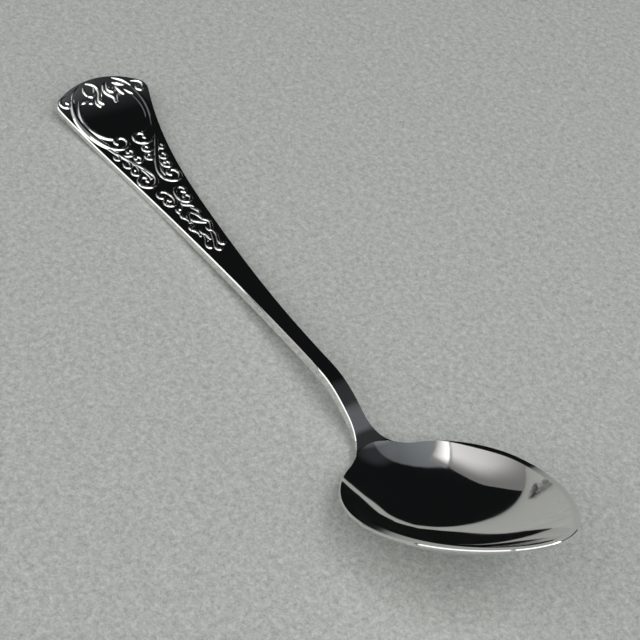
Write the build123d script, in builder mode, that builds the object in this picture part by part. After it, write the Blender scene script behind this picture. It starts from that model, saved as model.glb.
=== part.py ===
"""Teaspoon with a fan-ended handle and a tilted egg-shaped bowl. Millimetres, Z up, X along the spoon."""

import os
from math import asin, cos, radians, sin, sqrt

from build123d import *

# Whole spoon, lying on a table: handle end at low X, bowl tip at high X
spoon_length = 139.5

# Handle seen from above
fan_width = 19.9
fan_arc_rise = 3.5
fan_corner_radius = 2.2
upper_width = 12.8
upper_at = 18.5
middle_width = 7.0
middle_at = 41.5
lower_width = 3.4
neck_width = 3.0

# Handle seen from the side
end_lift = 5.1
end_slope = -19.0
corner_lift = 3.9
back_low_at = 24.0
middle_lift = 2.2
lower_lift = 4.45
seam_lift = 5.8
crest_lift = 6.05
fall_lift = 4.0
fan_thickness = 1.4
stem_thickness = 2.1
top_bevel = 0.18
back_bevel = 0.35

# Stations on the stem and neck, measured back along the spoon from the rear end of the bowl
lower_back = 30.2
seam_back = 18.2
crest_back = 13.2
shell_back = 8.7
fall_back = 6.2
throat_back = 4.5
throat_middle_back = 2.4

# Bowl, in its own tilted rim line
bowl_length = 46.4
bowl_width = 29.9
bowl_depth = 6.6
bowl_tilt = 31.0
widest_part = 0.385
tip_taper = 0.22
rim_sag = 1.5
rim_width = 1.2
edge_land = 0.45
rim_bevel = 0.15
wall_thickness = 0.8
neck_height = 2.32
shoulder_radius = 9.0
throat_rise = 1.25
throat_middle_rise = 0.35
throat_depth = 0.55
heel_height = 0.15
heel_sink = 0.35
shell_rise = 1.05
valley_run = 5.0

x_end = -spoon_length / 2
end_angle = radians(end_slope)
tilt = radians(bowl_tilt)
neck_x = spoon_length / 2 - bowl_length * cos(tilt)
x_lower = neck_x - lower_back
x_seam = neck_x - seam_back
x_crest = neck_x - crest_back
x_fall = neck_x - fall_back
rim_radius = (bowl_length**2 / 4 + rim_sag**2) / (2 * rim_sag)
rim_angle = tilt - asin((bowl_length / 2 - valley_run) / rim_radius)
blank_height = 60.0
reach = 1.03
keel_parts = (0.22, 0.35, 0.5, 0.65, 0.8, 0.92, reach)
keel_stations = [bowl_length * part for part in keel_parts]
facing_up = 0.5
edge_angles = [radians(angle) for angle in range(0, 360, 18)]
bowl_plane = Plane(origin=(neck_x, 0, neck_height), x_dir=(cos(tilt), 0, sin(tilt)), z_dir=(0, -1, 0))


def rim_line(s):
    """Height of the rim over its chord, s along the chord from the neck."""
    return rim_radius - rim_sag - sqrt(rim_radius**2 - (s - bowl_length / 2) ** 2)


def egg_square(s, half, length):
    """Half width of an egg outline, squared; it goes negative past both ends."""
    middle = widest_part * length
    if s < middle:
        v = (middle - s) / middle
        return half**2 * (1 - v**2)
    v = (s - middle) / (length - middle)
    return half**2 * (1 - v**2) * (1 - tip_taper * v**2) ** 2


def axis_height(half, depth):
    """Height over the chord of the axis that the bowl's surface turns about."""
    return (half**2 - depth**2) / (2 * depth) + rim_line(widest_part * bowl_length)


def keel(s, inset, depth):
    """Height of the bowl's surface on the centre line, for a rim drawn in by inset."""
    half = bowl_width / 2 - inset
    axis = axis_height(half, depth)
    square = egg_square(s - inset, half, bowl_length - 2 * inset)
    return axis - sqrt(max(square + (axis - rim_line(s)) ** 2, 0))


def on_rim(s):
    """Side view point on the rim line."""
    point = bowl_plane.from_local_coords(Vector(s, rim_line(s), 0))
    return (point.X, point.Z)


def rim_edge(angle):
    """Point on the rim's outer edge seen from above, turning from one widest place over the tip."""
    front = sin(angle) > 0
    part = 1 - widest_part if front else widest_part
    taper = tip_taper if front else 0
    s = bowl_length * (widest_part + part * sin(angle))
    return (on_rim(s)[0], bowl_width / 2 * cos(angle) * (1 - taper * sin(angle) ** 2))


def in_bowl(x, z):
    """A side view point in the bowl's own plane."""
    point = bowl_plane.to_local_coords(Vector(x, 0, z))
    return (point.X, point.Y)


def top_line():
    """Side view of the spoon's upper face, from the handle end over the neck onto the rim."""
    return Spline(
        (x_end, end_lift),
        (x_end + fan_arc_rise, corner_lift),
        (x_end + back_low_at, fan_thickness),
        (x_end + middle_at, middle_lift),
        (x_lower, lower_lift),
        (x_seam, seam_lift),
        (x_crest, crest_lift),
        (x_fall, fall_lift),
        (neck_x, neck_height),
        on_rim(valley_run),
        tangents=((cos(end_angle), sin(end_angle)), (cos(rim_angle), sin(rim_angle))),
        tangent_scalars=(1, 1),
    )


def back_line():
    """Side view of the spoon's back, from the handle end to the bowl's heel."""
    return Spline(
        (x_end, end_lift - fan_thickness),
        (x_end + fan_arc_rise, corner_lift - fan_thickness),
        (x_end + back_low_at, 0),
        (x_end + middle_at, middle_lift - (fan_thickness + stem_thickness) / 2),
        (x_lower, lower_lift - stem_thickness),
        (x_seam, seam_lift - stem_thickness),
        (x_crest, crest_lift - stem_thickness),
        (x_fall, fall_lift - stem_thickness),
        (neck_x, heel_height),
        (on_rim(valley_run)[0], heel_height + heel_sink),
        tangents=((cos(end_angle), sin(end_angle)), (1, 0)),
        tangent_scalars=(1, 1),
    )


os.makedirs("parts", exist_ok=True)

# Handle: the flat blank cut to its outline, bent to its side line, bevelled on both faces
with BuildPart() as handle:
    with BuildSketch(Plane.XZ.offset(-fan_width)):
        with BuildLine():
            top = top_line()
            back = back_line()
            Line(top @ 0, back @ 0)
            Line(top @ 1, back @ 1)
        make_face()
    extrude(amount=2 * fan_width)
    with BuildSketch(Plane.XY.offset(-blank_height)) as plan:
        with BuildLine():
            edge = Spline(
                (x_end + fan_arc_rise, fan_width / 2),
                (x_end + upper_at, upper_width / 2),
                (x_end + middle_at, middle_width / 2),
                (x_lower, lower_width / 2),
                (x_seam, neck_width / 2),
                (x_crest, neck_width / 2),
            )
            mirror(edge, about=Plane.XZ)
            ThreePointArc(edge @ 0, (x_end, 0), (x_end + fan_arc_rise, -fan_width / 2))
            Line(edge @ 1, (x_crest, -neck_width / 2))
        make_face()
        fillet(plan.vertices().sort_by(Axis.X)[:2], radius=fan_corner_radius)
    extrude(amount=2 * blank_height, mode=Mode.INTERSECT)
    top_face = handle.faces().sort_by(lambda face: face.normal_at().Z)[-1]
    chamfer([e for e in top_face.edges() if e.center().X < x_seam], length=top_bevel)
    back_face = handle.faces().sort_by(lambda face: face.normal_at().Z)[0]
    chamfer([e for e in back_face.edges() if e.center().X < x_seam], length=back_bevel)
    split(bisect_by=Plane(origin=(x_seam, 0, 0), z_dir=(1, 0, 0)), keep=Keep.BOTTOM)
handle.part.label = "handle"
export_step(handle.part, "parts/handle.step")

# Bowl: a shell turned about an axis over the rim, whose back and hollow both run up onto the neck
with BuildPart() as bowl:
    with BuildSketch(bowl_plane):
        with BuildLine():
            outside = Spline(
                in_bowl(neck_x - shell_back, neck_height + shell_rise),
                in_bowl(neck_x, neck_height - stem_thickness + heel_sink),
                *[(s, keel(s, -edge_land, bowl_depth)) for s in keel_stations],
            )
            outer_axis = axis_height(bowl_width / 2 + edge_land, bowl_depth)
            Polyline(outside @ 0, ((outside @ 0).X, outer_axis), (keel_stations[-1], outer_axis), outside @ 1)
        make_face()
    outer_centre = bowl_plane.from_local_coords(Vector(0, outer_axis, 0))
    revolve(axis=Axis(outer_centre, bowl_plane.x_dir))
    # Neck strip, whose bevelled back runs out on the bowl's back
    with BuildPart(mode=Mode.PRIVATE) as strip:
        with BuildSketch(Plane.XZ.offset(-neck_width / 2)):
            with BuildLine():
                back = back_line()
                Polyline(back @ 0, (x_end, blank_height), ((back @ 1).X, blank_height), back @ 1)
            make_face()
        extrude(amount=neck_width)
        chamfer(strip.edges().filter_by(GeomType.BSPLINE), length=back_bevel)
    add(strip.part)
    # Trim to the side line of the neck and rim
    with BuildSketch(Plane.XZ.offset(-bowl_width)):
        with BuildLine():
            top = top_line()
            rim = ThreePointArc(top @ 1, on_rim(bowl_length / 2), on_rim(reach * bowl_length))
            Polyline(top @ 0, (x_end, -blank_height), ((rim @ 1).X, -blank_height), rim @ 1)
        make_face()
    extrude(amount=2 * bowl_width, mode=Mode.INTERSECT)
    # Trim to the egg seen from above, with round shoulders that lead to it from the neck
    with BuildSketch(Plane.XY.offset(-blank_height)) as outline:
        with BuildLine():
            Spline(*[rim_edge(angle) for angle in edge_angles], periodic=True)
        make_face()
        with Locations((x_seam, 0)):
            Rectangle(2 * (neck_x - x_seam) + neck_width, neck_width)
        fillet(outline.vertices().filter_by(lambda v: abs(v.X - neck_x) < neck_width), radius=shoulder_radius)
    extrude(amount=2 * blank_height, mode=Mode.INTERSECT)
    # Bevel all round the upper edge
    valley_x = on_rim(valley_run)[0]
    upper_faces = bowl.faces().filter_by(lambda face: face.normal_at().Z > facing_up)
    chamfer([e for e in upper_faces.edges() if abs(e.center().X - valley_x) > rim_bevel], length=rim_bevel)
    # Hollow, with a throat that rises onto the neck
    with BuildSketch(bowl_plane):
        with BuildLine():
            inner_depth = bowl_depth - wall_thickness
            inside = Spline(
                in_bowl(neck_x - throat_back, neck_height + throat_rise),
                in_bowl(neck_x - throat_middle_back, neck_height + throat_middle_rise),
                in_bowl(neck_x, neck_height - throat_depth),
                *[(s, keel(s, rim_width, inner_depth)) for s in keel_stations],
            )
            inner_axis = axis_height(bowl_width / 2 - rim_width, inner_depth)
            Polyline(inside @ 0, ((inside @ 0).X, inner_axis), (keel_stations[-1], inner_axis), inside @ 1)
        make_face()
    inner_centre = bowl_plane.from_local_coords(Vector(0, inner_axis, 0))
    revolve(axis=Axis(inner_centre, bowl_plane.x_dir), mode=Mode.SUBTRACT)
    split(bisect_by=Plane(origin=(x_seam, 0, 0), z_dir=(1, 0, 0)), keep=Keep.TOP)
bowl.part.label = "bowl"
export_step(bowl.part, "parts/bowl.step")
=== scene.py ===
"""Polished teaspoon with a scroll-ornamented fan handle, lying on a plain pale floor. Metres, Z up."""

from math import cos, radians, sin

import bpy
from mathutils import Matrix, Vector


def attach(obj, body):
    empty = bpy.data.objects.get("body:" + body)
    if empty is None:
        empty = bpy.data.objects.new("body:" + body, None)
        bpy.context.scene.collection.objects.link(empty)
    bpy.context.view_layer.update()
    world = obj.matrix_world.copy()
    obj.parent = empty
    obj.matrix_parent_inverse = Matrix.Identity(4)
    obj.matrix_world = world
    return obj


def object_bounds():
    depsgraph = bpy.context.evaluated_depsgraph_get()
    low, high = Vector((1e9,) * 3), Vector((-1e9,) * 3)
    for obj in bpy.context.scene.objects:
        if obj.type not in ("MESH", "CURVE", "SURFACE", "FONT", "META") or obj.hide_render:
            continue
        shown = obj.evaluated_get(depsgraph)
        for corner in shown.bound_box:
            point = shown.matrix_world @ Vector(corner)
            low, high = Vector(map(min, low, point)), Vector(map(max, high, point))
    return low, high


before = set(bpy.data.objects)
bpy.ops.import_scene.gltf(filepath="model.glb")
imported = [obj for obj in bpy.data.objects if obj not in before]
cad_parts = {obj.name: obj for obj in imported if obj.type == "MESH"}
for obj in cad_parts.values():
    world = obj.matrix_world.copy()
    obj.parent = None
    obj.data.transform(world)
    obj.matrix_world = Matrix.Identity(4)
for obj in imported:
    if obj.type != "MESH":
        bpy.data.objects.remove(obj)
cad_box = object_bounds()

MM = 0.001

# Camera, with its angles in degrees
LENS = 93.41
SENSOR = 36.0
LOOK_AT = Vector((-0.34, 8.85, 0.0)) * MM
CAMERA_DISTANCE = 289.17 * MM
CAMERA_PITCH = 44.59
CAMERA_YAW = 138.92
CAMERA_ROLL = 12.21
CLIP_START = 0.01

# Floor
FLOOR_SIZE = 6.0
FLOOR_COLOUR = (0.470, 0.482, 0.458)
FLOOR_ROUGHNESS = 0.75
FLOOR_SPECULAR = 0.2
FLOOR_MOTTLE = 0.30
FLOOR_CONTRAST = (0.3, 0.7)
GRAIN_SCALE = 900.0
GRAIN_DETAIL = 3.0
GRAIN_ROUGHNESS = 1.0
GRAIN_DISTORTION = 0.4

# Room that the metal mirrors: dark, with a sloping grey ceiling, a faint sheen across it and a pale end wall
ROOM_COLOUR = (0.74, 0.80, 0.86)
ROOM_LIGHT = 0.008
CEILING_SLOPE = (0.13, -0.55, 1.0)
CEILING_EDGE = (0.660, 0.700)
CEILING_LIGHT = 0.20
CEILING_LEAN = -0.22
SHEEN_SLOPE = (0.0, 0.5, 1.0)
SHEEN_EDGE = (1.02, 1.11)
SHEEN_LIGHT = 0.032
WALL_EDGE = (0.08, 0.20)
WALL_LIGHT = 0.13

# Window of three panes and a soft box: each has its side edges at foot and head, and its heights, in degrees
PANEL_DISTANCE = 2.5
PANEL_GRID = 12
LOWER_PANE = {"left": (-174.5, -166.0), "right": (-133.0, -133.0), "height": (0.0, 42.0)}
LOWER_GLOW = {"dim": 0.18, "bright": 0.62, "fade": (0.05, 0.55), "foot": 0.1, "head": 1.0}
UPPER_PANE = {"left": (-168.0, -168.0), "right": (-133.0, -133.0), "height": (43.2, 54.0)}
UPPER_GLOW = {"dim": 0.22, "bright": 1.3, "fade": (0.08, 0.40), "foot": 1.0, "head": 0.0}
SIDE_PANE = {"left": (-132.0, -132.0), "right": (-86.0, -86.0), "height": (0.0, 42.0)}
SIDE_GLOW = 1.4
SOFT_BOX = {"left": (-78.0, -140.0), "right": (40.0, 40.0), "height": (25.0, 86.0)}
SOFT_GLOW = 1.62

# Lamp that casts the shadow, with its angles in degrees
KEY_AZIMUTH = 20.0
KEY_ELEVATION = 68.0
KEY_DISTANCE = 0.8
KEY_SIZE = 0.30
KEY_POWER = 0.9

# Polished metal, with smudges that dull it and hairlines along X
METAL_COLOUR = (0.88, 0.87, 0.85)
POLISH = (0.03, 0.09)
SMUDGE_SCALE = 90.0
SMUDGE_DETAIL = 4.0
SMUDGE_SPAN = (0.35, 0.75)
SMUDGE_SHADE = 0.93
HAIRLINE_SCALE = (60.0, 2200.0, 2200.0)
HAIRLINE_DETAIL = 2.0
HAIRLINE_STRENGTH = 0.03
HAIRLINE_DEPTH = 0.02 * MM

# Ornament relief: ridges along smooth strokes, with a rise per half width and a sink in millimetres
STROKE_ORDER = 4
STROKE_STEPS = 6
RIDGE_PARTS = 8
RIDGE = [2 * k / RIDGE_PARTS - 1 for k in range(RIDGE_PARTS + 1)]
RIDGE_CREASE = 60.0
RELIEF_RISE = 0.62
LOW_RISE = 0.18
RELIEF_SINK = 0.03
NEAR_FRAME_WIDTH = 1.3


def direction(azimuth, elevation):
    """Unit vector from the object towards a compass angle and height, in degrees."""
    a = radians(azimuth)
    e = radians(elevation)
    return Vector((cos(e) * cos(a), cos(e) * sin(a), sin(e)))


def nodes_of(owner):
    """Empties the node tree of a material or world, and gives helpers that add a node and link sockets."""
    owner.use_nodes = True
    tree = owner.node_tree
    tree.nodes.clear()

    def add(kind, inputs=None, **settings):
        node = tree.nodes.new(kind)
        for key, value in settings.items():
            setattr(node, key, value)
        for key, value in (inputs or {}).items():
            node.inputs[key].default_value = value
        return node

    return add, tree.links.new


def ramp(add, link, value, span=(0.0, 1.0), low=0.0, high=1.0, kind="LINEAR"):
    """Output that goes from low to high while a value crosses a span."""
    limits = {"From Min": span[0], "From Max": span[1], "To Min": low, "To Max": high}
    node = add("ShaderNodeMapRange", limits, interpolation_type=kind)
    link(value, node.inputs["Value"])
    return node.outputs["Result"]


def mixed_colour(add, link, factor, first, second):
    """Colour that goes from the first to the second as a factor goes from 0 to 1."""
    node = add("ShaderNodeMix", {"A": (*first, 1), "B": (*second, 1)}, data_type="RGBA")
    link(factor, node.inputs["Factor"])
    return node.outputs["Result"]


def metal(name):
    """Mirror-polished silvery metal with faint smudges and fine hairlines along the spoon."""
    material = bpy.data.materials.new(name)
    add, link = nodes_of(material)
    output = add("ShaderNodeOutputMaterial")
    shader = add("ShaderNodeBsdfPrincipled", {"Metallic": 1.0})
    link(shader.outputs["BSDF"], output.inputs["Surface"])
    place = add("ShaderNodeTexCoord")

    smudge = add("ShaderNodeTexNoise", {"Scale": SMUDGE_SCALE, "Detail": SMUDGE_DETAIL})
    link(place.outputs["Object"], smudge.inputs["Vector"])
    gloss = ramp(add, link, smudge.outputs["Fac"], SMUDGE_SPAN, *POLISH)
    link(gloss, shader.inputs["Roughness"])
    smudged = [SMUDGE_SHADE * c for c in METAL_COLOUR]
    tone = mixed_colour(add, link, smudge.outputs["Fac"], smudged, METAL_COLOUR)
    link(tone, shader.inputs["Base Color"])

    stretch = add("ShaderNodeMapping", {"Scale": HAIRLINE_SCALE})
    link(place.outputs["Object"], stretch.inputs["Vector"])
    hairline = add("ShaderNodeTexNoise", {"Scale": 1.0, "Detail": HAIRLINE_DETAIL})
    link(stretch.outputs["Vector"], hairline.inputs["Vector"])
    bump = add("ShaderNodeBump", {"Strength": HAIRLINE_STRENGTH, "Distance": HAIRLINE_DEPTH})
    link(hairline.outputs["Fac"], bump.inputs["Height"])
    link(bump.outputs["Normal"], shader.inputs["Normal"])
    return material


def floor_material():
    """Plain pale floor with a faint mineral mottle."""
    material = bpy.data.materials.new("pale_floor")
    add, link = nodes_of(material)
    output = add("ShaderNodeOutputMaterial")
    shader = add("ShaderNodeBsdfPrincipled", {
        "Roughness": FLOOR_ROUGHNESS,
        "Specular IOR Level": FLOOR_SPECULAR,
    })
    link(shader.outputs["BSDF"], output.inputs["Surface"])
    place = add("ShaderNodeTexCoord")
    grain = add("ShaderNodeTexNoise", {
        "Scale": GRAIN_SCALE,
        "Detail": GRAIN_DETAIL,
        "Roughness": GRAIN_ROUGHNESS,
        "Distortion": GRAIN_DISTORTION,
    })
    link(place.outputs["Object"], grain.inputs["Vector"])
    contrast = ramp(add, link, grain.outputs["Fac"], FLOOR_CONTRAST)
    darker = [(1 - FLOOR_MOTTLE) * c for c in FLOOR_COLOUR]
    lighter = [(1 + FLOOR_MOTTLE) * c for c in FLOOR_COLOUR]
    tone = mixed_colour(add, link, contrast, darker, lighter)
    link(tone, shader.inputs["Base Color"])
    return material


def even_light(name, strength):
    """Light of a panel that is the same all over."""
    material = bpy.data.materials.new(name)
    add, link = nodes_of(material)
    output = add("ShaderNodeOutputMaterial")
    glow = add("ShaderNodeEmission", {"Strength": strength})
    link(glow.outputs["Emission"], output.inputs["Surface"])
    return material


def graded_light(name, dim, bright, fade, foot, head):
    """Light of a panel: dim all over, plus a bright part that fades in across it and varies with height."""
    material = bpy.data.materials.new(name)
    add, link = nodes_of(material)
    output = add("ShaderNodeOutputMaterial")
    glow = add("ShaderNodeEmission")
    link(glow.outputs["Emission"], output.inputs["Surface"])
    place = add("ShaderNodeTexCoord")
    axes = add("ShaderNodeSeparateXYZ")
    link(place.outputs["UV"], axes.inputs["Vector"])
    across = ramp(add, link, axes.outputs["X"], fade, high=bright, kind="SMOOTHSTEP")
    scale = ramp(add, link, axes.outputs["Y"], low=foot, high=head)
    level = add("ShaderNodeMath", {2: dim}, operation="MULTIPLY_ADD")
    link(across, level.inputs[0])
    link(scale, level.inputs[1])
    link(level.outputs["Value"], glow.inputs["Strength"])
    return material


def mesh_object(name, points, faces):
    """New mesh object in the scene."""
    mesh = bpy.data.meshes.new(name)
    mesh.from_pydata(points, [], faces)
    obj = bpy.data.objects.new(name, mesh)
    bpy.context.scene.collection.objects.link(obj)
    return obj


def make_floor():
    """Large pale floor that the spoon lies on."""
    h = FLOOR_SIZE / 2
    low = cad_box[0].z
    floor = mesh_object("floor", [(-h, -h, low), (h, -h, low), (h, h, low), (-h, h, low)], [(0, 1, 2, 3)])
    floor.data.materials.append(floor_material())


def make_panel(name, light, left, right, height):
    """Curved glowing panel round the spoon, whose side edges may lean from foot to head."""
    points = []
    spots = []
    for j in range(PANEL_GRID + 1):
        v = j / PANEL_GRID
        start, end, rise = (foot + (head - foot) * v for foot, head in (left, right, height))
        for i in range(PANEL_GRID + 1):
            u = i / PANEL_GRID
            points.append(direction(start + (end - start) * u, rise) * PANEL_DISTANCE)
            spots.append((u, v))
    row = PANEL_GRID + 1
    corners = [j * row + i for j in range(PANEL_GRID) for i in range(PANEL_GRID)]
    panel = mesh_object(name, points, [(c, c + 1, c + row + 1, c + row) for c in corners])
    layer = panel.data.uv_layers.new(name="panel")
    for loop, corner in zip(panel.data.loops, layer.data):
        corner.uv = spots[loop.vertex_index]
    panel.data.materials.append(light)


def make_world():
    """Dark room: a sloping grey ceiling, lighter towards the window, a faint sheen and a pale end wall."""
    world = bpy.data.worlds.new("room")
    bpy.context.scene.world = world
    add, link = nodes_of(world)
    output = add("ShaderNodeOutputWorld")
    sky = add("ShaderNodeBackground", {"Color": (*ROOM_COLOUR, 1)})
    link(sky.outputs["Background"], output.inputs["Surface"])
    place = add("ShaderNodeTexCoord")
    axes = add("ShaderNodeSeparateXYZ")
    link(place.outputs["Generated"], axes.inputs["Vector"])

    def along(slope):
        """How far a direction in the room reaches along a slope."""
        reach = add("ShaderNodeVectorMath", {1: slope}, operation="DOT_PRODUCT")
        link(place.outputs["Generated"], reach.inputs[0])
        return reach.outputs["Value"]

    ceiling = ramp(add, link, along(CEILING_SLOPE), CEILING_EDGE, kind="SMOOTHSTEP")
    sheen = ramp(add, link, along(SHEEN_SLOPE), SHEEN_EDGE, high=SHEEN_LIGHT, kind="SMOOTHSTEP")
    wall = ramp(add, link, axes.outputs["X"], WALL_EDGE, ROOM_LIGHT, WALL_LIGHT, "SMOOTHSTEP")
    lean = add("ShaderNodeMath", {1: CEILING_LEAN, 2: CEILING_LIGHT}, operation="MULTIPLY_ADD")
    link(axes.outputs["Y"], lean.inputs[0])
    walls = add("ShaderNodeMath", operation="ADD")
    link(wall, walls.inputs[0])
    link(sheen, walls.inputs[1])
    total = add("ShaderNodeMath", operation="MULTIPLY_ADD")
    link(lean.outputs["Value"], total.inputs[0])
    link(ceiling, total.inputs[1])
    link(walls.outputs["Value"], total.inputs[2])
    link(total.outputs["Value"], sky.inputs["Strength"])


def make_key():
    """Round lamp that casts the shadow under the bowl."""
    lamp = bpy.data.lights.new("key_lamp", "AREA")
    lamp.shape = "DISK"
    lamp.size = KEY_SIZE
    lamp.energy = KEY_POWER
    obj = bpy.data.objects.new("key_lamp", lamp)
    obj.location = direction(KEY_AZIMUTH, KEY_ELEVATION) * KEY_DISTANCE
    obj.rotation_euler = obj.location.to_track_quat("Z", "Y").to_euler()
    bpy.context.scene.collection.objects.link(obj)


def make_camera():
    """Camera at the photograph's viewing angle."""
    data = bpy.data.cameras.new("camera")
    data.lens = LENS
    data.sensor_width = SENSOR
    data.clip_start = CLIP_START
    obj = bpy.data.objects.new("camera", data)
    ahead = direction(CAMERA_YAW, -CAMERA_PITCH)
    level = ahead.cross(Vector((0, 0, 1))).normalized()
    upright = level.cross(ahead)
    roll = radians(CAMERA_ROLL)
    right = cos(roll) * level + sin(roll) * upright
    up = -sin(roll) * level + cos(roll) * upright
    turn = Matrix((right, up, -ahead)).transposed().to_4x4()
    obj.matrix_world = Matrix.Translation(LOOK_AT - ahead * CAMERA_DISTANCE) @ turn
    bpy.context.scene.collection.objects.link(obj)
    bpy.context.scene.camera = obj


def top_height(x, y):
    """Height of the handle's upper face, in metres, at a place given in millimetres."""
    start = Vector((x * MM, y * MM, cad_box[1].z + MM))
    _, spot, _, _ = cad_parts["handle"].ray_cast(start, Vector((0, 0, -1)))
    return spot.z


def smooth_line(stroke):
    """Places and half widths, in millimetres, on the smooth line that a stroke's control points draw."""
    curve = bpy.data.curves.new("stroke", "CURVE")
    curve.dimensions = "3D"
    curve.resolution_u = STROKE_STEPS
    spline = curve.splines.new("NURBS")
    spline.points.add(len(stroke) - 1)
    for point, control in zip(spline.points, stroke):
        point.co = (*control, 1)
    spline.order_u = STROKE_ORDER
    spline.use_endpoint_u = True
    holder = bpy.data.objects.new("stroke", curve)
    line = bpy.data.meshes.new_from_object(holder)
    spots = [v.co.copy() for v in line.vertices]
    bpy.data.meshes.remove(line)
    bpy.data.objects.remove(holder)
    bpy.data.curves.remove(curve)
    return spots


def sweep(points, faces, spots, side, rise):
    """Adds one raised stroke, a low rounded ridge whose underside lies just below the handle's face."""
    first = len(points)
    row = len(RIDGE)
    last = len(spots) - 1
    for i, (x, y, half) in enumerate(spots):
        ahead = spots[min(i + 1, last)] - spots[max(i - 1, 0)]
        across = Vector((-ahead.y, ahead.x)).normalized()
        for u in RIDGE:
            px = x + across.x * half * u
            py = side * (y + across.y * half * u)
            height = rise * half * (1 - u * u) - RELIEF_SINK
            points.append((px * MM, py * MM, top_height(px, py) + height * MM))
    # On the mirrored side, where side is -1, each face lists its corners the other way round
    for i in range(last):
        a = first + i * row
        b = a + row
        for k in range(row - 1):
            faces.append((a + k, b + k, b + k + 1, a + k + 1)[::side])
        faces.append((a + row - 1, b + row - 1, b, a)[::side])
    faces.append(tuple(range(first, first + row))[::side])
    faces.append(tuple(range(first + last * row, first + last * row + row))[::-side])


def relief(name, strokes, sides=(1, -1), rise=RELIEF_RISE):
    """One group of raised strokes on the handle's upper face, on one side of the middle or both."""
    points = []
    faces = []
    for stroke in strokes:
        spots = smooth_line(stroke)
        for side in sides:
            sweep(points, faces, spots, side, rise)
    obj = mesh_object(name, points, faces)
    obj.data.shade_smooth()
    obj.data.set_sharp_from_angle(angle=radians(RIDGE_CREASE))
    obj.data.materials.append(handle_metal)
    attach(obj, "root")


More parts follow.
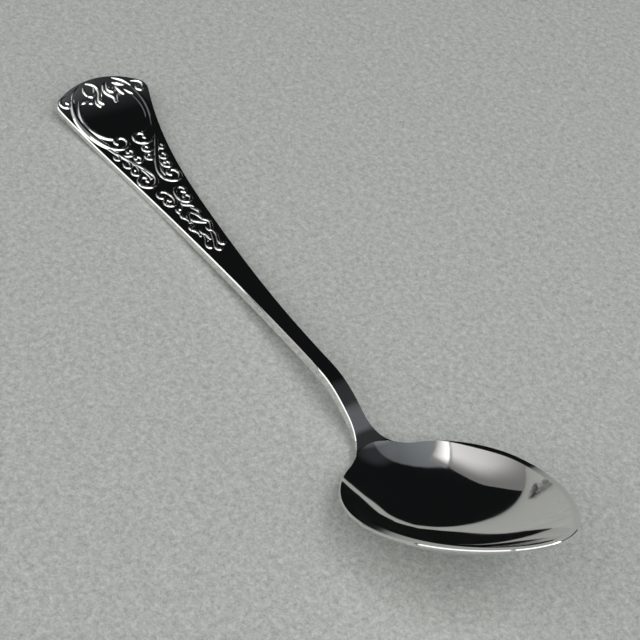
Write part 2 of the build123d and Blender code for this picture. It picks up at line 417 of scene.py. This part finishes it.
def make_ornament():
    """Scrolls and leaves struck on the upper part of the handle; each point is a place and a half width."""
    relief("corner_curls", [
        [(-67.3, 6.7, 0.12), (-67.2, 7.6, 0.30), (-66.7, 8.7, 0.36), (-65.8, 8.8, 0.36), (-65.0, 8.2, 0.36),
         (-65.0, 7.2, 0.36), (-65.8, 7.0, 0.36), (-66.1, 7.7, 0.34)],
    ])
    relief("fan_leaves_far", [
        [(-68.3, 1.6, 0.12), (-67.8, 1.0, 0.36), (-66.9, 0.7, 0.42), (-66.0, 0.75, 0.44), (-65.4, 1.3, 0.42),
         (-64.9, 1.9, 0.44), (-64.3, 2.0, 0.46), (-63.7, 1.7, 0.25)],
        [(-68.2, 1.9, 0.12), (-67.4, 1.6, 0.34), (-66.6, 1.45, 0.38), (-66.0, 1.9, 0.42), (-66.1, 2.6, 0.42),
         (-66.8, 2.7, 0.25)],
        [(-65.7, 3.2, 0.12), (-65.1, 3.0, 0.36), (-64.4, 2.6, 0.40), (-63.8, 2.2, 0.20)],
        [(-67.9, 2.9, 0.12), (-67.6, 3.4, 0.50), (-67.3, 4.2, 0.58), (-66.9, 5.0, 0.20)],
        [(-67.1, 3.2, 0.12), (-66.6, 3.4, 0.42), (-65.9, 3.7, 0.50), (-65.2, 3.9, 0.45), (-64.8, 4.1, 0.15)],
        [(-66.0, 4.6, 0.12), (-65.4, 5.1, 0.45), (-64.9, 5.5, 0.52), (-64.5, 5.9, 0.15)],
        [(-68.9, 3.3, 0.12), (-68.6, 4.0, 0.32), (-68.1, 4.9, 0.34), (-67.3, 5.8, 0.34), (-66.4, 6.3, 0.20)],
    ], sides=(1,))
    relief("fan_leaves_near", [
        [(-68.9, 2.3, 0.15), (-68.7, 1.4, 0.40), (-68.1, 0.6, 0.44), (-67.2, 0.25, 0.46),
         (-66.3, 0.45, 0.46), (-65.5, 0.9, 0.44), (-64.8, 1.25, 0.46), (-64.2, 1.05, 0.50),
         (-63.8, 0.65, 0.30)],
        [(-68.0, 0.95, 0.12), (-67.4, 1.05, 0.34), (-66.8, 1.2, 0.36), (-66.2, 1.7, 0.36),
         (-65.9, 2.4, 0.42), (-66.3, 2.8, 0.30)],
        [(-68.4, 2.9, 0.15), (-67.7, 3.2, 0.46), (-66.9, 3.3, 0.46), (-66.3, 3.0, 0.20)],
        [(-65.2, 1.8, 0.15), (-64.6, 2.0, 0.42), (-63.9, 1.95, 0.48), (-63.4, 1.5, 0.30)],
        [(-65.4, 2.2, 0.15), (-64.9, 2.5, 0.42), (-64.5, 2.9, 0.44), (-64.8, 3.4, 0.25)],
        [(-65.6, 3.1, 0.15), (-65.4, 3.6, 0.46), (-65.3, 4.2, 0.52), (-65.0, 4.8, 0.15)],
        [(-68.7, 3.7, 0.12), (-68.1, 4.8, 0.36), (-67.3, 5.7, 0.38), (-66.4, 6.2, 0.20)],
    ], sides=(-1,))
    # The oval frame is broad on the near side and low on the far side
    frame_lines = [
        [(-67.0, 5.7, 0.12), (-65.6, 6.6, 0.34), (-63.6, 7.25, 0.46), (-61.2, 7.40, 0.58),
         (-58.6, 6.95, 0.66), (-56.2, 6.1, 0.64), (-54.2, 5.2, 0.56), (-52.9, 4.2, 0.42),
         (-52.5, 3.0, 0.25)],
        [(-65.8, 5.0, 0.12), (-64.2, 5.8, 0.32), (-62.4, 6.35, 0.40), (-60.2, 6.35, 0.46),
         (-58.2, 5.8, 0.46), (-56.6, 4.8, 0.44), (-55.7, 3.7, 0.42), (-55.4, 3.1, 0.32)],
    ]
    near_lines = [[(x, y, NEAR_FRAME_WIDTH * half) for x, y, half in line] for line in frame_lines]
    relief("cartouche_frame_near", near_lines, sides=(-1,))
    relief("cartouche_frame_far", frame_lines, sides=(1,), rise=LOW_RISE)
    relief("cartouche_volutes", [
        [(-53.6, 4.9, 0.15), (-52.6, 3.9, 0.34), (-52.3, 2.4, 0.40), (-52.9, 1.0, 0.42), (-54.3, 0.6, 0.42),
         (-55.4, 1.4, 0.42), (-55.3, 2.8, 0.42), (-54.4, 3.3, 0.44), (-53.8, 2.7, 0.40)],
    ])
    relief("stem_scrolls", [
        [(-54.6, 5.5, 0.15), (-52.6, 4.7, 0.48), (-50.4, 3.5, 0.48), (-48.4, 2.5, 0.52), (-46.6, 1.6, 0.52),
         (-44.8, 0.75, 0.42), (-42.9, 0.5, 0.40), (-41.4, 1.2, 0.40), (-40.8, 2.6, 0.42), (-41.4, 3.9, 0.44),
         (-42.8, 4.3, 0.44), (-44.1, 3.6, 0.44), (-44.1, 2.3, 0.44), (-43.1, 1.9, 0.46), (-42.6, 2.6, 0.42)],
        [(-47.4, 2.5, 0.12), (-45.8, 1.7, 0.32), (-44.2, 1.35, 0.34), (-43.0, 1.5, 0.25)],
    ])
    relief("small_curls", [
        [(-51.8, 4.4, 0.12), (-50.6, 3.2, 0.32), (-50.0, 2.0, 0.34), (-50.5, 1.0, 0.36), (-51.6, 1.0, 0.38),
         (-51.8, 2.0, 0.40), (-51.1, 2.2, 0.36)],
        [(-49.8, 3.2, 0.12), (-48.4, 2.3, 0.32), (-47.8, 1.2, 0.34), (-48.4, 0.4, 0.36), (-49.5, 0.5, 0.38),
         (-49.7, 1.5, 0.40), (-49.0, 1.6, 0.36)],
        [(-52.6, 4.7, 0.12), (-51.4, 4.1, 0.30), (-50.2, 4.0, 0.34), (-49.8, 4.8, 0.34), (-50.6, 5.3, 0.34),
         (-51.2, 4.9, 0.30)],
        [(-50.2, 3.4, 0.12), (-48.9, 3.0, 0.32), (-47.6, 3.0, 0.36), (-47.1, 4.0, 0.36), (-48.1, 4.6, 0.36),
         (-48.9, 4.0, 0.34)],
        [(-48.2, 2.5, 0.12), (-46.6, 2.2, 0.34), (-45.1, 2.5, 0.38), (-44.8, 3.6, 0.38), (-45.8, 4.2, 0.38),
         (-46.7, 3.5, 0.38), (-46.2, 3.0, 0.34)],
    ])
    relief("paired_scrolls", [
        [(-37.8, 1.9, 0.40), (-37.1, 2.2, 0.40), (-37.6, 2.9, 0.38), (-38.9, 2.7, 0.38), (-39.2, 1.6, 0.38),
         (-38.4, 0.7, 0.38), (-37.0, 0.35, 0.38), (-35.6, 0.4, 0.38), (-34.6, 1.1, 0.38), (-34.7, 2.3, 0.38),
         (-35.8, 2.8, 0.38), (-36.8, 2.1, 0.40), (-36.4, 1.4, 0.40), (-35.9, 1.5, 0.36)],
    ])
    relief("tail_leaves", [
        [(-35.3, 0.3, 0.12), (-34.4, 0.0, 0.38), (-33.8, 0.6, 0.42), (-33.6, 1.6, 0.42), (-32.9, 1.8, 0.20)],
        [(-33.0, 1.0, 0.15), (-32.4, 1.6, 0.42), (-31.6, 2.1, 0.44), (-30.8, 1.9, 0.36), (-30.3, 1.4, 0.20)],
        [(-31.7, 0.3, 0.15), (-31.2, 0.9, 0.40), (-30.5, 1.3, 0.42), (-29.8, 1.3, 0.36), (-29.0, 1.5, 0.36),
         (-28.3, 2.4, 0.38), (-27.3, 2.1, 0.36), (-26.4, 1.7, 0.34), (-25.6, 1.3, 0.34), (-26.1, 0.7, 0.34),
         (-26.9, 0.9, 0.25)],
        [(-30.6, -0.5, 0.15), (-29.6, -0.6, 0.40), (-28.9, 0.2, 0.44), (-28.4, 0.9, 0.42),
         (-28.0, 1.5, 0.20)],
        [(-25.9, 1.3, 0.12), (-24.8, 1.7, 0.34), (-23.6, 1.3, 0.34), (-22.6, 0.8, 0.36), (-21.5, 0.9, 0.40),
         (-21.5, 1.6, 0.40), (-22.0, 1.8, 0.30)],
        [(-25.8, 1.0, 0.12), (-24.8, 0.9, 0.30), (-23.8, 0.5, 0.30), (-22.4, 0.1, 0.32), (-21.4, -0.5, 0.36),
         (-20.4, -0.4, 0.42), (-20.4, 0.3, 0.40), (-20.9, 0.5, 0.30)],
        [(-25.7, -0.4, 0.20), (-25.0, -0.1, 0.44), (-24.3, -0.1, 0.44), (-23.6, -0.2, 0.25)],
        [(-34.3, -0.2, 0.12), (-33.6, -0.6, 0.36), (-33.0, -0.9, 0.40), (-33.6, -1.3, 0.36),
         (-32.9, -1.8, 0.40), (-32.0, -1.3, 0.40), (-31.2, -1.9, 0.40), (-30.4, -1.2, 0.36),
         (-29.7, -1.0, 0.30), (-29.0, -1.3, 0.20)],
        [(-31.9, 0.2, 0.12), (-31.4, -0.5, 0.34), (-30.5, -0.9, 0.34), (-29.6, -1.0, 0.30),
         (-28.8, -0.8, 0.20)],
        [(-28.4, -0.5, 0.15), (-28.1, -1.2, 0.38), (-28.2, -2.0, 0.40), (-27.2, -2.0, 0.38),
         (-26.6, -1.3, 0.38), (-25.8, -1.1, 0.34), (-25.0, -1.4, 0.25)],
        [(-26.9, -0.4, 0.15), (-26.2, -0.9, 0.36), (-25.5, -0.6, 0.36), (-25.0, -0.2, 0.25)],
        [(-25.2, -0.7, 0.12), (-24.2, -0.7, 0.32), (-23.2, -1.2, 0.34), (-22.4, -1.7, 0.36),
         (-21.5, -1.6, 0.40), (-21.5, -1.0, 0.40), (-22.0, -0.8, 0.30)],
    ], sides=(1,))


bowl_metal = metal("polished_bowl")
handle_metal = metal("polished_handle")
for node, finish in (("bowl", bowl_metal), ("handle", handle_metal)):
    node_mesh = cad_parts[node].data
    node_mesh.materials.clear()
    node_mesh.materials.append(finish)

make_ornament()
make_floor()
make_panel("lower_pane", graded_light("lower_pane_light", **LOWER_GLOW), **LOWER_PANE)
make_panel("upper_pane", graded_light("upper_pane_light", **UPPER_GLOW), **UPPER_PANE)
make_panel("side_pane", even_light("side_pane_light", SIDE_GLOW), **SIDE_PANE)
make_panel("soft_box", even_light("soft_box_light", SOFT_GLOW), **SOFT_BOX)
make_world()
make_key()
make_camera()

bpy.context.scene.view_settings.view_transform = "Standard"
